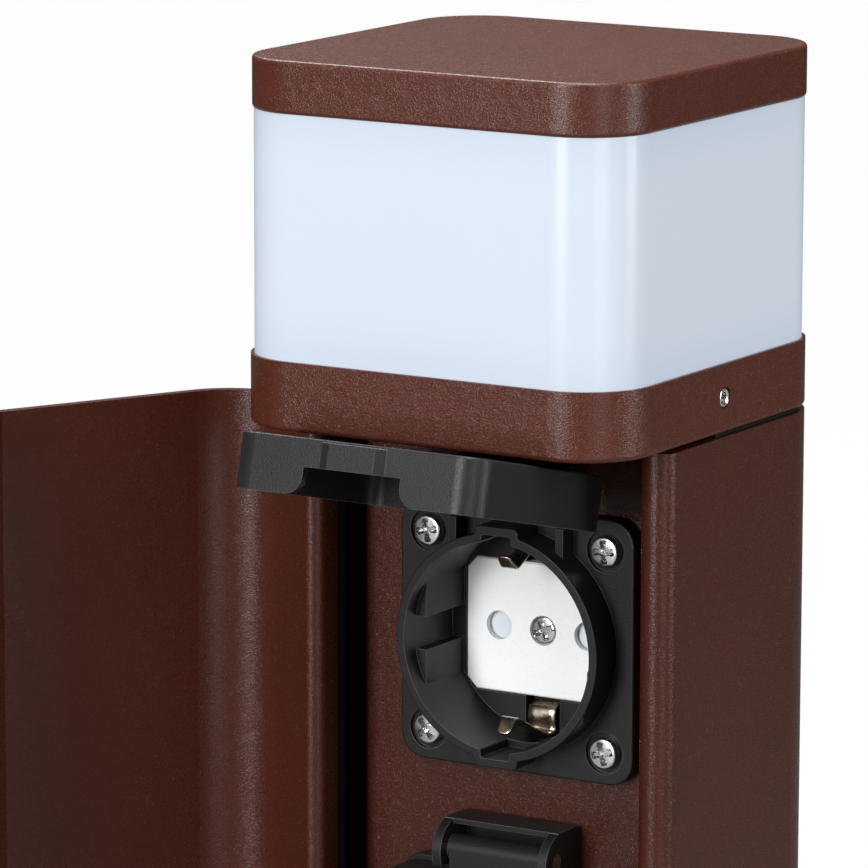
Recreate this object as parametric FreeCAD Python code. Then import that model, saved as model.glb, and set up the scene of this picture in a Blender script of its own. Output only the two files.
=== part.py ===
import FreeCAD, Part
import math
import os

# Bollard light with two covered sockets behind a hinged door, millimetres.
# Origin: centre of the square at the underside of the foot plate. +Z up, the door side faces -Y.

V = FreeCAD.Vector

# Square body
body_w = 82.0            # outside width of the column, door and head collar
corner_r = 13.5          # outer corner radius in plan
wall = 2.2               # column wall
half = body_w / 2
front_y = -half          # face of the closed door
column_len = 376.0
joint_gap = 0.7          # dark gap between column top and head collar

# Foot plate
foot_out = 19.0          # plate beyond the body on each side
foot_w = body_w + 2 * foot_out
foot_t = 5.0
foot_r = 8.0
anchor_in = 12.0
anchor_pitch = foot_w - 2 * anchor_in
anchor_r = 4.5
cable_hole_r = 8.2
cable_hole_in = 22.0     # centre of the cable hole in front of the rear face
cable_hole_y = half - cable_hole_in

# Recess with its panel, and the two wings beside it
panel_in = 39.5          # recess panel behind the closed door's face
panel_y = front_y + panel_in
panel_t = 2.2
wing_in = 23.5           # centre of the right wing's rounded end
wing_y = front_y + wing_in
wing_r = 3.45            # radius of that end, half the wing's thickness
wing_wall = 2.0

# Hinge groove of the door: a C-shaped channel on the left wing
hinge_side = 2.6         # hinge axis inside the left face
hinge_in = 27.3          # and behind the closed door's face
hinge_x = -half + hinge_side
hinge_y = front_y + hinge_in
groove_out = 2.5         # outside radius of the channel
groove_in = 1.6          # bore radius
slot_from = 104.0        # the channel is open between these two angles
slot_to = 262.0
bead_clear = 0.08        # running clearance of the door's bead in the channel
wing_step = 0.3          # left face of the left wing's web, right of the hinge axis
wing_clear = 0.5         # open door to the slanted end of the side wall

# Door
door_t = 2.0
door_open = 117.0        # opening angle in the rest pose
door_swing_gap = 0.3     # door wall to the outside of the channel
neck_from = 226.0        # angles of the bead's neck with the door closed
neck_to = 257.0
door_tail = 1.5          # end of the return wall below the hinge axis
door_wing_gap = 0.5      # free edge to the right wing
door_foot_gap = 0.7
web_side = 27.0          # where the stiffening web leaves the flat
web_in = 11.0            # where it meets the free return
web_x = half - web_side
web_y = front_y + web_in
web_t = 1.6

# Screw ports of the column and their screws
port_r = 4.8
port_bore = 1.7
port_side = 6.8          # front ports inside the side faces
port_deep = 6.1          # and behind the panel's face
port_corner = 8.8        # rear ports inside the rear corner
port_front = (half - port_side, panel_y + port_deep)
port_back = (half - port_corner, half - port_corner)
port_screw_r = 1.6
port_screw_len = 14.0
port_head_r = 3.2
port_head_t = 2.2
screw_clear = 0.3

# Head: collar tray, diffuser and cap, heights above the collar's underside
collar_h = 12.85
collar_floor = 3.0
collar_wall = 3.0
collar_edge = 1.0
diffuser_in = 0.7        # diffuser behind the collar's faces
diffuser_w = body_w - 2 * diffuser_in
diffuser_wall = 2.2
diffuser_fit = 0.2
diffuser_shoulder = 3.0
seal_t = 1.0
seal_inset = 1.2         # head gasket behind the outer faces
diffuser_h = 45.1        # visible height between collar and cap
cap_in = 0.4
cap_w = body_w - 2 * cap_in
cap_h = 9.7
cap_top = 3.2
cap_wall = 3.0
cap_edge = 0.7
set_screw_z = 6.6
set_screw_r = 1.9
set_screw_clear = 0.1
rod_in = 14.0
rod_x = half - rod_in
rod_r = 3.0
rod_stud_r = 1.9
rod_stud_top = 5.0
rod_stud_low = 2.6
rod_clear = 0.1
cap_boss_r = 4.6

# Light source
led_plate_in = 2.0       # edge of the plate inside the rods' axes
led_plate_w = 2 * (rod_x - led_plate_in)
led_plate_t = 2.0
led_plate_r = 6.0
led_post_in = 5.0
led_post_x = led_plate_w / 2 - led_post_in
led_post_r = 4.0
led_post_h = 4.0
led_board_in = 3.0
led_board_r = led_plate_w / 2 - led_board_in
led_board_t = 1.2
led_ring_in = 6.0
led_ring_r = led_board_r - led_ring_in
led_count = 12
led_w = 3.0
led_t = 0.8
led_screw_r = 1.4
led_head_r = 2.6
led_head_t = 1.6
led_clear = 0.2

# Parts in the rear chamber
driver_w, driver_d, driver_h, driver_z = 40.0, 19.0, 96.0, 112.0
terminal_w, terminal_d, terminal_h, terminal_z = 44.0, 14.0, 20.0, 56.0
terminal_ways = 5
terminal_way_r = 1.8
gland_r = 11.0
gland_hex = 22.0
gland_h = 8.0
gland_dome_h = 14.0
gland_bore = 4.0
gland_neck_clear = 0.2

# Sockets
flange_w = 50.0
flange_t = 2.4
flange_r = 5.0
flange_edge = 0.4
gasket_t = 0.8
gasket_in = 0.5
flange_drop = 17.5       # upper flange below the collar's underside
flange_step = 18.5       # and the lower flange below the upper one
socket_drop = flange_w / 2 + flange_drop
socket_pitch = flange_w + flange_step
hole_in = 6.0
hole_pitch = flange_w - 2 * hole_in
hole_r = 1.9
counter_r = 4.0
counter_t = 0.9
fix_r = 1.45
fix_len = 8.0
fix_head_r = 3.0
fix_head_t = 1.9
fix_tap = 0.1
ring_in = 3.5            # raised ring round the well, inside the flange's sides
ring_r = flange_w / 2 - ring_in
ring_wall = 1.65
ring_h = 7.5
rim_edge = 0.25
well_r = ring_r - ring_wall
cup_wall = 2.2
cup_back = 37.2          # rear end of the cup behind the rim
panel_clear = 0.5
key_w = 9.3              # bumps of the ring at twelve and six o'clock
key_in = 6.3
key_out = 1.3
key_depth = 10.2
key_round = 1.1
key_round_in = 0.5
guide_in = 4.2           # guide blocks at the sides of the well, from the ring's outside
guide_x = ring_r - guide_in
guide_z = 3.15
guide_h = 6.7
guide_back = 3.9
insert_depth = 17.4      # front of the white insert behind the ring's rim
insert_side = 3.25       # insert's sides and ends from the well's wall
insert_end = 7.1
insert_w = 2 * (well_r - insert_side)
insert_h = 2 * (well_r - insert_end)
insert_chamfer = 2.1
insert_fit = 0.15
insert_front = 1.2
insert_d = 4.5
insert_wall = 1.5
pin_pitch = 19.0
pin_r = 2.75
floor_t = 2.0
floor_sink = 0.15        # black floor behind the insert's front
hub_r = 3.2
hub_bore = 1.7
shutter_fit = 0.06
shutter_gap = 0.35
shutter_t = 1.7
shutter_hub = 5.2
shutter_end = 3.6        # shutter's ends inside the insert's sides
shutter_len = insert_w / 2 - shutter_end
shutter_half = 3.1
centre_screw_r = 1.5
centre_head_r = 2.65
centre_head_t = 1.2
cover_t = 2.0
cover_hole_in = 9.05     # wire holes of the rear cover inside its edge
cover_hole_r = 1.8
cover_hole_pitch = 6.0
contact_r = 2.9
contact_bore = 2.35
contact_gap = 0.4
contact_fit = 0.1
post_r = 4.6
post_h = 5.0
earth_w = 5.8            # earth clip at the floor
earth_tip_w = 3.3        # and at its hump
earth_t = 0.5
earth_gap = 0.3
earth_slot = 3.7         # half width of its slot in the floor
earth_hump_in = 5.8      # hump from the well's wall
earth_hump_r = well_r - earth_hump_in
earth_hump_back = 5.4    # and behind the rim
earth_tip_in = 3.35
earth_tip_r = well_r - earth_tip_in
earth_tip_back = 3.0
earth_foot_back = 15.4   # where the strip meets the wall
earth_top_in = 5.35      # upper bend of the upright part
earth_top_r = well_r - earth_top_in
earth_slot_deep = 3.0

# Socket hinge and lid, measured from the socket's centre and the flange's face
pivot_out = 5.6
pivot_rise = 4.0         # lid's pivot above the flange
pivot_up = flange_w / 2 + pivot_rise
pivot_pin_r = 1.4
pivot_fit = 0.06
ear_in = 10.45
ear_t = 1.8
ear_rise = 0.9
ear_low = flange_w / 2 + ear_rise
ear_out = 9.7            # front of the ears from the flange's face
ear_round = 6.0          # their rounded upper front
hood_rise = 9.3          # top of the hood over the hinge above the flange
hood_up = flange_w / 2 + hood_rise
hood_out = 5.0
hood_t = 0.95
rib_t = 1.6
rib_len = 5.5
rib_in = 2.0
rib_high = flange_w / 2 - rib_in
rib_low = rib_high - rib_len
rib_out = 4.05
barrel_r = 2.6
barrel_half = 9.9
lid_over = 0.7           # lid past the flange's sides
lid_top_in = 1.1         # and short of its top and bottom
lid_bottom_in = 0.9
lid_w = flange_w + 2 * lid_over
lid_top = flange_w / 2 - lid_top_in
lid_bottom = -flange_w / 2 + lid_bottom_in
lid_r = 4.8
lid_d = 10.3
lid_wall = 1.5
lid_face = 1.6
lid_edge = 0.5
lid_gap = 0.4
key_clear = 0.5          # lid's inside to the ring's bump
lid_open = 103.5
arm_half = 9.3
arm_back = 3.35
notch_half = 10.1
notch_d = 5.1
notch_r = 3.4
pad_flat = 4.85
pad_run = 1.85
pad_out = 0.95
lid_seal_out = 0.2       # seal past the ring's outside, and its width
lid_seal_wide = 3.1
lid_seal_r = ring_r + lid_seal_out
lid_seal_in = lid_seal_r - lid_seal_wide

# Door catch
catch_z = (60.0, 210.0)
magnet_w, magnet_d, magnet_h = 3.0, 4.6, 18.0
strike_r = 1.4
strike_len = 2.4
strike_sink = 0.2
strike_fit = 0.1

# Derived levels
column_z0 = foot_t
column_z1 = foot_t + column_len
collar_z = column_z1 + joint_gap
glass_z = collar_z + collar_h
cap_z = glass_z + diffuser_h
top_z = cap_z + cap_h
flange_y = panel_y - gasket_t - flange_t
rim_y = flange_y - ring_h
insert_y = rim_y + insert_depth
floor_y = insert_y + insert_d
cup_end = rim_y + cup_back
cup_r = well_r + cup_wall
pivot_y = flange_y - pivot_out
lid_rim_y = flange_y - lid_gap
lid_face_y = lid_rim_y - lid_d
upper_z = collar_z - socket_drop
lower_z = upper_z - socket_pitch
ports = [(sx * x, y) for (x, y) in (port_front, port_back) for sx in (-1, 1)]
holes = [(sx * hole_pitch / 2, sz * hole_pitch / 2) for sx in (-1, 1) for sz in (-1, 1)]
rods = [(sx * rod_x, sy * rod_x) for sx in (-1, 1) for sy in (-1, 1)]


def save(name, shape):
    shape.exportStep("parts/" + name + ".step")


def box(x0, x1, y0, y1, z0, z1):
    return Part.makeBox(x1 - x0, y1 - y0, z1 - z0, V(x0, y0, z0))


def rod_z(r, x, y, z0, z1):
    return Part.makeCylinder(r, z1 - z0, V(x, y, z0), V(0, 0, 1))


def rod_y(r, x, z, y0, y1):
    return Part.makeCylinder(r, y1 - y0, V(x, y0, z), V(0, 1, 0))


def rod_x_dir(r, y, z, x0, x1):
    return Part.makeCylinder(r, x1 - x0, V(x0, y, z), V(1, 0, 0))


def group(shapes):
    return Part.makeCompound(shapes)


def fuse(shapes):
    out = shapes[0].multiFuse(shapes[1:]) if len(shapes) > 1 else shapes[0]
    return out.removeSplitter()


def loop(start, steps):
    """Closed wire through points; a step with four numbers is an arc (middle point, end point)."""
    edges, a = [], V(start[0], start[1], 0)
    for s in steps + [start]:
        b = V(s[-2], s[-1], 0)
        if len(s) == 4:
            edges.append(Part.Arc(a, V(s[0], s[1], 0), b).toShape())
        elif a.distanceToPoint(b) > 1e-6:
            edges.append(Part.LineSegment(a, b).toShape())
        a = b
    return Part.Wire(edges)


def prism(start, steps, z0, z1):
    face = Part.Face(loop(start, steps))
    face.translate(V(0, 0, z0))
    return face.extrude(V(0, 0, z1 - z0))


def plan_square(w, r, z0, z1):
    """Upright block with a rounded square plan."""
    h, k = w / 2, r * (1 - math.sqrt(0.5))
    steps = [(h - r, -h), (h - k, -h + k, h, -h + r), (h, h - r), (h - k, h - k, h - r, h),
             (-h + r, h), (-h + k, h - k, -h, h - r), (-h, -h + r), (-h + k, -h + k, -h + r, -h)]
    return prism(steps[-1][-2:], steps[:-1] + [steps[-1]], z0, z1)


def face_block(x0, x1, z0, z1, r, y0, y1):
    """Block along Y with a rounded rectangle in the XZ plane."""
    k = r * (1 - math.sqrt(0.5))
    steps = [(x1 - r, z0), (x1 - k, z0 + k, x1, z0 + r), (x1, z1 - r), (x1 - k, z1 - k, x1 - r, z1),
             (x0 + r, z1), (x0 + k, z1 - k, x0, z1 - r), (x0, z0 + r), (x0 + k, z0 + k, x0 + r, z0)]
    s = prism(steps[-1][-2:], steps, 0, y1 - y0)
    s.rotate(V(0, 0, 0), V(1, 0, 0), 90)
    s.translate(V(0, y1, 0))
    return s


def polar(r, deg):
    a = math.radians(deg)
    return (hinge_x + r * math.cos(a), hinge_y + r * math.sin(a))


def sector(r, a0, a1, z0, z1):
    """Pie slice round the door's hinge axis."""
    m = (a0 + a1) / 2
    return prism((hinge_x, hinge_y), [polar(r, a0), polar(r, m) + polar(r, a1)], z0, z1)


def cross_head(r, t, depth):
    """Slots of a cross recess, to be cut from a screw head of radius r standing along +Z."""
    w = r * 0.22
    a = box(-r * 0.6, r * 0.6, -w, w, t - depth, t + 1)
    b = box(-w, w, -r * 0.6, r * 0.6, t - depth, t + 1)
    return a.fuse(b)


def screw(shank_r, length, head_r, head_t, sink=0.0):
    """Screw along Z with its head above z = 0 and a cross recess; sink tapers the head below."""
    head = Part.makeCylinder(head_r, head_t)
    if sink > 0:
        head = Part.makeCone(shank_r, head_r, head_t, V(0, 0, 0))
    else:
        rim = [e for e in head.Edges if abs(e.BoundBox.ZMin - head_t) < 1e-6
               and abs(e.BoundBox.ZMax - head_t) < 1e-6]
        head = head.makeFillet(head_t * 0.35, rim)
    body = head.fuse(Part.makeCylinder(shank_r, length, V(0, 0, -length)))
    return body.cut(cross_head(head_r, head_t, head_t * 0.6)).removeSplitter()


def placed(shape, x, y, z, axis=None, deg=0):
    s = shape.copy()
    if axis is not None:
        s.rotate(V(0, 0, 0), axis, deg)
    s.translate(V(x, y, z))
    return s


# Foot plate
def foot_plate():
    s = plan_square(foot_w, foot_r, 0, foot_t)
    a = anchor_pitch / 2
    cuts = [rod_z(anchor_r, sx * a, sy * a, -1, foot_t + 1) for sx in (-1, 1) for sy in (-1, 1)]
    cuts.append(rod_z(cable_hole_r, 0, cable_hole_y, -1, foot_t + 1))
    for x, y in ports:
        cuts.append(rod_z(port_screw_r + screw_clear, x, y, -1, foot_t + 1))
        cuts.append(Part.makeCone(port_head_r + screw_clear, port_screw_r + screw_clear,
                                  port_head_t, V(x, y, 0), V(0, 0, 1)))
    top = [e for e in s.Edges if abs(e.BoundBox.ZMin - foot_t) < 1e-6]
    s = s.makeChamfer(0.8, top)
    return s.cut(group(cuts))


def foot_screws():
    one = screw(port_screw_r, port_screw_len + foot_t - port_head_t, port_head_r, port_head_t, 1)
    return group([placed(one, x, y, port_head_t, V(1, 0, 0), 180) for x, y in ports])


# Column: one extrusion with a rear chamber, a recess panel, two wings and screw ports
def side_end(x_rel):
    """Height above the hinge axis of the slanted end of the left side wall."""
    a = math.radians(180.0 - door_open)
    reach = hinge_x + half + wing_clear
    return (reach - x_rel * math.cos(a)) / math.sin(a)


def column():
    z0, z1 = column_z0, column_z1
    h, k = half, corner_r * (1 - math.sqrt(0.5))
    xr = h - 2 * wing_r
    xw = hinge_x + wing_step
    steps = [(h - wing_r, wing_y - wing_r, h, wing_y), (h, h - corner_r),
             (h - k, h - k, h - corner_r, h), (-h + corner_r, h), (-h + k, h - k, -h, h - corner_r),
             (-h, hinge_y + side_end(-h - hinge_x)), (xw, hinge_y + side_end(wing_step)),
             (xw, hinge_y), (hinge_x + groove_out, hinge_y), (hinge_x + groove_out, panel_y),
             (xr, panel_y)]
    s = prism((xr, wing_y), steps, z0, z1)
    ring = rod_z(groove_out, hinge_x, hinge_y, z0, z1).cut(
        sector(groove_out * 2, slot_from, slot_to, z0 - 1, z1 + 1))
    s = s.fuse(ring).cut(rod_z(groove_in, hinge_x, hinge_y, z0 - 1, z1 + 1))
    # rear chamber with the four screw ports left standing
    ci, ki = h - wall, (corner_r - wall) * (1 - math.sqrt(0.5))
    yf, rr, rf = panel_y + panel_t, corner_r - wall, 2.0
    kf = rf * (1 - math.sqrt(0.5))
    chamber = prism((-ci + rf, yf), [(ci - rf, yf), (ci - kf, yf + kf, ci, yf + rf), (ci, ci - rr),
                    (ci - ki, ci - ki, ci - rr, ci), (-ci + rr, ci), (-ci + ki, ci - ki, -ci, ci - rr),
                    (-ci, yf + rf), (-ci + kf, yf + kf, -ci + rf, yf)], z0 - 1, z1 + 1)
    chamber = chamber.cut(group([rod_z(port_r, x, y, z0 - 2, z1 + 2) for x, y in ports]))
    s = s.cut(chamber).cut(group([rod_z(port_bore, x, y, z0 - 1, z1 + 1) for x, y in ports]))
    # hollow of the right wing
    q = wing_r - wing_wall
    xm = h - wing_r
    hollow = prism((xm - q, wing_y), [(xm, wing_y - q, xm + q, wing_y),
                   (xm + q, panel_y - wing_wall), (xm - q, panel_y - wing_wall)], z0 - 1, z1 + 1)
    s = s.cut(hollow)
    # openings for the sockets and their fixing screws
    cuts = []
    for zc in (upper_z, lower_z):
        cuts.append(rod_y(cup_r + panel_clear, 0, zc, panel_y - 1, panel_y + panel_t + 1))
        cuts += [rod_y(fix_r + fix_tap, x, zc + z, panel_y - 1, panel_y + panel_t + 1) for x, z in holes]
    for z in catch_z:
        cuts.append(rod_y(strike_r + strike_fit, h - wing_r, z, wing_y - wing_r - 1, wing_y))
    return s.cut(group(cuts)).removeSplitter()


def strikes():
    y0 = wing_y - wing_r + strike_sink
    return group([rod_y(strike_r, half - wing_r, z, y0, y0 + strike_len) for z in catch_z])


# Door, drawn closed and turned about its bead to the open rest pose
def door_shape(closed=False):
    z0, z1 = column_z0 + door_foot_gap, column_z1
    h, t, r = half, door_t, corner_r
    k, ki = r * (1 - math.sqrt(0.5)), (r - t) * (1 - math.sqrt(0.5))
    yt = hinge_y - door_tail
    ye = wing_y - wing_r - door_wing_gap
    outer = [(-h, -h + r), (-h + k, -h + k, -h + r, -h), (h - r, -h), (h - k, -h + k, h, -h + r),
             (h, ye), (h - t, ye), (h - t, -h + r), (h - t - ki, -h + t + ki, h - r, -h + t),
             (-h + r, -h + t), (-h + t + ki, -h + t + ki, -h + t, -h + r), (-h + t, yt)]
    s = prism((-h, yt), outer, z0, z1)
    s = s.cut(rod_z(groove_out + door_swing_gap, hinge_x, hinge_y, z0 - 1, z1 + 1))
    bead = rod_z(groove_in - bead_clear, hinge_x, hinge_y, z0, z1)
    neck = sector(groove_out + door_swing_gap + 0.5, neck_from, neck_to, z0, z1)
    xi, yi, lap = h - t, -h + t, t / 4
    n = math.hypot(xi - web_x, web_y - yi)
    rise, run = web_t * n / (xi - web_x), web_t * n / (web_y - yi)
    web = prism((web_x, yi - lap), [(web_x, yi), (xi, web_y), (xi + lap, web_y), (xi + lap, web_y - rise),
                (xi, web_y - rise), (web_x + run, yi), (web_x + run, yi - lap)], z0, z1)
    s = fuse([s, bead, neck, web])
    if not closed:
        s.rotate(V(hinge_x, hinge_y, 0), V(0, 0, 1), -door_open)
    return s


def magnets():
    x1 = half - door_t
    ye = wing_y - wing_r - door_wing_gap
    s = group([box(x1 - magnet_w, x1, ye - magnet_d, ye, z - magnet_h / 2, z + magnet_h / 2)
               for z in catch_z])
    s.rotate(V(hinge_x, hinge_y, 0), V(0, 0, 1), -door_open)
    return s


# Head
def head_gasket():
    z0, z1 = column_z1, collar_z
    out = plan_square(body_w - 2 * seal_inset, corner_r - seal_inset, z0, z1)
    out = out.common(box(-half, half, panel_y, half, z0, z1))
    inn = plan_square(body_w - 2 * wall, corner_r - wall, z0 - 1, z1 + 1)
    return out.cut(inn.common(box(-half, half, panel_y + panel_t, half, z0 - 1, z1 + 1)))


def head_collar():
    z0, z1 = collar_z, glass_z
    s = plan_square(body_w, corner_r, z0, z1)
    low = [e for e in s.Edges if abs(e.BoundBox.ZMax - z0) < 1e-6]
    s = s.makeFillet(collar_edge, low)
    s = s.cut(plan_square(body_w - 2 * collar_wall, corner_r - collar_wall, z0 + collar_floor, z1 + 1))
    posts = [rod_z(led_post_r, x, y, z0 + collar_floor - 0.5, z0 + collar_floor + led_post_h)
             for x, y in ((led_post_x, 0), (-led_post_x, 0), (0, led_post_x), (0, -led_post_x))]
    s = fuse([s] + posts)
    cuts = []
    for x, y in ports:
        cuts.append(rod_z(port_screw_r + screw_clear, x, y, z0 - 1, z1))
        cuts.append(Part.makeCone(port_screw_r + screw_clear, port_head_r + screw_clear, port_head_t,
                                  V(x, y, z0 + collar_floor - port_head_t), V(0, 0, 1)))
    for x, y in rods:
        cuts.append(rod_z(rod_stud_r + rod_clear, x, y, z0 + collar_floor - rod_stud_low - 0.1, z1))
    for x, y in ((led_post_x, 0), (-led_post_x, 0), (0, led_post_x), (0, -led_post_x)):
        cuts.append(rod_z(led_screw_r + 0.05, x, y, z0 + collar_floor, z1))
    cuts.append(rod_z(cable_hole_r / 2, 0, 10.0, z0 - 1, z1))
    cuts.append(rod_x_dir(set_screw_r + set_screw_clear, 0, z0 + set_screw_z, -half - 1, half + 1))
    return s.cut(group(cuts)).removeSplitter()


def head_screws():
    one = screw(port_screw_r, port_screw_len, port_head_r, port_head_t, 1)
    return group([placed(one, x, y, collar_z + collar_floor - port_head_t) for x, y in ports])


def set_screws():
    """Hexagon socket set screws in the two side walls of the collar."""
    out = []
    inner = body_w / 2 - collar_wall - diffuser_fit
    for sx in (-1, 1):
        c = Part.makeCylinder(set_screw_r, half - inner - 0.1)
        pts = [V(1.15 * math.cos(math.radians(60 * i)), 1.15 * math.sin(math.radians(60 * i)), 1.4)
               for i in range(6)]
        hexa = Part.Face(Part.makePolygon(pts + [pts[0]])).extrude(V(0, 0, 3))
        c = c.cut(hexa)
        c.rotate(V(0, 0, 0), V(0, 1, 0), 90 * sx)
        c.translate(V(sx * inner, 0, collar_z + set_screw_z))
        out.append(c)
    return group(out)


def diffuser_seal():
    w = body_w - 2 * collar_wall - 2 * diffuser_fit
    z0 = collar_z + collar_floor
    s = plan_square(w, corner_r - collar_wall, z0, z0 + seal_t)
    return s.cut(plan_square(w - 2 * diffuser_wall, corner_r - collar_wall - diffuser_wall, z0 - 1, z0 + 3))


def diffuser():
    w = body_w - 2 * collar_wall - 2 * diffuser_fit
    z0 = collar_z + collar_floor + seal_t
    r_low = corner_r - collar_wall
    r_up = corner_r - (body_w - diffuser_w) / 2
    skirt = plan_square(w, r_low, z0, glass_z + 1)
    shell = plan_square(diffuser_w, r_up, glass_z, cap_z)
    bore = plan_square(w - 2 * diffuser_wall, r_low - diffuser_wall, z0 - 1, cap_z + 1)
    hollow = plan_square(diffuser_w - 2 * diffuser_wall, r_up - diffuser_wall,
                         glass_z + diffuser_shoulder, cap_z + 1)
    return skirt.fuse(shell).cut(bore).cut(hollow).removeSplitter()


def tie_rods():
    z0 = collar_z + collar_floor
    one = [fuse([rod_z(rod_r, x, y, z0, cap_z), rod_z(rod_stud_r, x, y, z0 - rod_stud_low, z0 + 1),
                 rod_z(rod_stud_r, x, y, cap_z - 1, cap_z + rod_stud_top)]) for x, y in rods]
    return group(one)


def cap():
    r = corner_r - (body_w - cap_w) / 2
    s = plan_square(cap_w, r, cap_z, top_z)
    rims = [e for e in s.Edges if abs(e.BoundBox.ZMin - top_z) < 1e-6 or abs(e.BoundBox.ZMax - cap_z) < 1e-6]
    s = s.makeFillet(cap_edge, rims)
    hollow = plan_square(cap_w - 2 * cap_wall, r - cap_wall, cap_z - 1, top_z - cap_top)
    hollow = hollow.cut(group([rod_z(cap_boss_r, x, y, cap_z - 2, top_z) for x, y in rods]))
    s = s.cut(hollow)
    s = s.cut(group([rod_z(rod_stud_r + rod_clear, x, y, cap_z - 1, cap_z + rod_stud_top + 0.3)
                     for x, y in rods]))
    return s.removeSplitter()


# Light source on the collar tray
led_z = collar_z + collar_floor + led_post_h


def led_plate():
    s = plan_square(led_plate_w, led_plate_r, led_z, led_z + led_plate_t)
    cuts = [rod_z(led_screw_r + led_clear, x, y, led_z - 1, led_z + 9)
            for x, y in ((led_post_x, 0), (-led_post_x, 0), (0, led_post_x), (0, -led_post_x))]
    return s.cut(group(cuts))


def led_screws():
    one = screw(led_screw_r, led_post_h + led_plate_t - 1.0, led_head_r, led_head_t)
    return group([placed(one, x, y, led_z + led_plate_t)
                  for x, y in ((led_post_x, 0), (-led_post_x, 0), (0, led_post_x), (0, -led_post_x))])


def led_board():
    z0 = led_z + led_plate_t
    s = rod_z(led_board_r, 0, 0, z0, z0 + led_board_t)
    cuts = [rod_z(led_head_r + led_clear, x, y, z0 - 1, z0 + 3)
            for x, y in ((led_post_x, 0), (-led_post_x, 0), (0, led_post_x), (0, -led_post_x))]
    return s.cut(group(cuts))


def leds():
    z0 = led_z + led_plate_t + led_board_t
    out = []
    for i in range(led_count):
        a = math.radians(360.0 / led_count * (i + 0.5))
        b = box(-led_w / 2, led_w / 2, -led_w / 2, led_w / 2, 0, led_t)
        b.rotate(V(0, 0, 0), V(0, 0, 1), math.degrees(a))
        b.translate(V(led_ring_r * math.cos(a), led_ring_r * math.sin(a), z0))
        out.append(b)
    return group(out)


# Rear chamber
def driver():
    y1 = half - wall
    s = box(-driver_w / 2, driver_w / 2, y1 - driver_d, y1, driver_z, driver_z + driver_h)
    front = [e for e in s.Edges if abs(e.BoundBox.YMax - (y1 - driver_d)) < 1e-6]
    return s.makeFillet(1.5, front)


def terminal_block():
    y1 = half - wall
    s = box(-terminal_w / 2, terminal_w / 2, y1 - terminal_d, y1, terminal_z, terminal_z + terminal_h)
    step = terminal_w / terminal_ways
    cuts = []
    for i in range(terminal_ways):
        x = -terminal_w / 2 + step * (i + 0.5)
        cuts.append(rod_y(terminal_way_r + 0.6, x, terminal_z + terminal_h * 0.7,
                          y1 - terminal_d - 1, y1 - terminal_d * 0.45))
        cuts.append(rod_z(terminal_way_r, x, y1 - terminal_d / 2, terminal_z - 1, terminal_z + 5))
    return s.cut(group(cuts))


def cable_gland():
    x, y, z = 0.0, cable_hole_y, column_z0
    pts = [V(gland_hex / 2 / math.cos(math.radians(30)) * math.cos(math.radians(60 * i)),
             gland_hex / 2 / math.cos(math.radians(30)) * math.sin(math.radians(60 * i)), 0)
           for i in range(6)]
    nut = Part.Face(Part.makePolygon(pts + [pts[0]])).extrude(V(0, 0, gland_h))
    nut.translate(V(x, y, z))
    dome = Part.makeCone(gland_r - 1.5, gland_bore + 2.5, gland_dome_h, V(x, y, z + gland_h - 0.5))
    neck = rod_z(cable_hole_r - gland_neck_clear, x, y, z - foot_t + 0.5, z + 1)
    s = fuse([nut, dome, neck])
    return s.cut(rod_z(gland_bore, x, y, 0, z + gland_h + gland_dome_h + 1))


# Socket pieces, drawn round the socket's centre at z = 0
def octagon(w, h, c, y0, y1):
    """Block along Y with chamfered corners, w and h being half sizes."""
    pts = [(-w + c, -h), (w - c, -h), (w, -h + c), (w, h - c), (w - c, h), (-w + c, h), (-w, h - c),
           (-w, -h + c)]
    s = prism(pts[0], pts[1:], 0, y1 - y0)
    s.rotate(V(0, 0, 0), V(1, 0, 0), 90)
    s.translate(V(0, y1, 0))
    return s


def keyed_rod(r, w, out, round_out, round_in, y0, y1):
    """Round bar along Y with a flat bump at the top and the bottom, its corners rounded."""
    s = fuse([rod_y(r, 0, 0, y0, y1), box(-w / 2, w / 2, y0, y1, -r - out, r + out)])

    def along(e, z_min, z_max):
        b = e.BoundBox
        return b.YLength > (y1 - y0) * 0.9 and abs(abs(b.XMin) - w / 2) < 0.01 and b.XLength < 0.01 \
            and z_min < abs((b.ZMin + b.ZMax) / 2) < z_max
    s = s.makeFillet(round_out, [e for e in s.Edges if along(e, r + out - 0.01, r + out + 0.01)])
    return s.makeFillet(round_in, [e for e in s.Edges if along(e, r - 2, r + out - round_out)])


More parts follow.
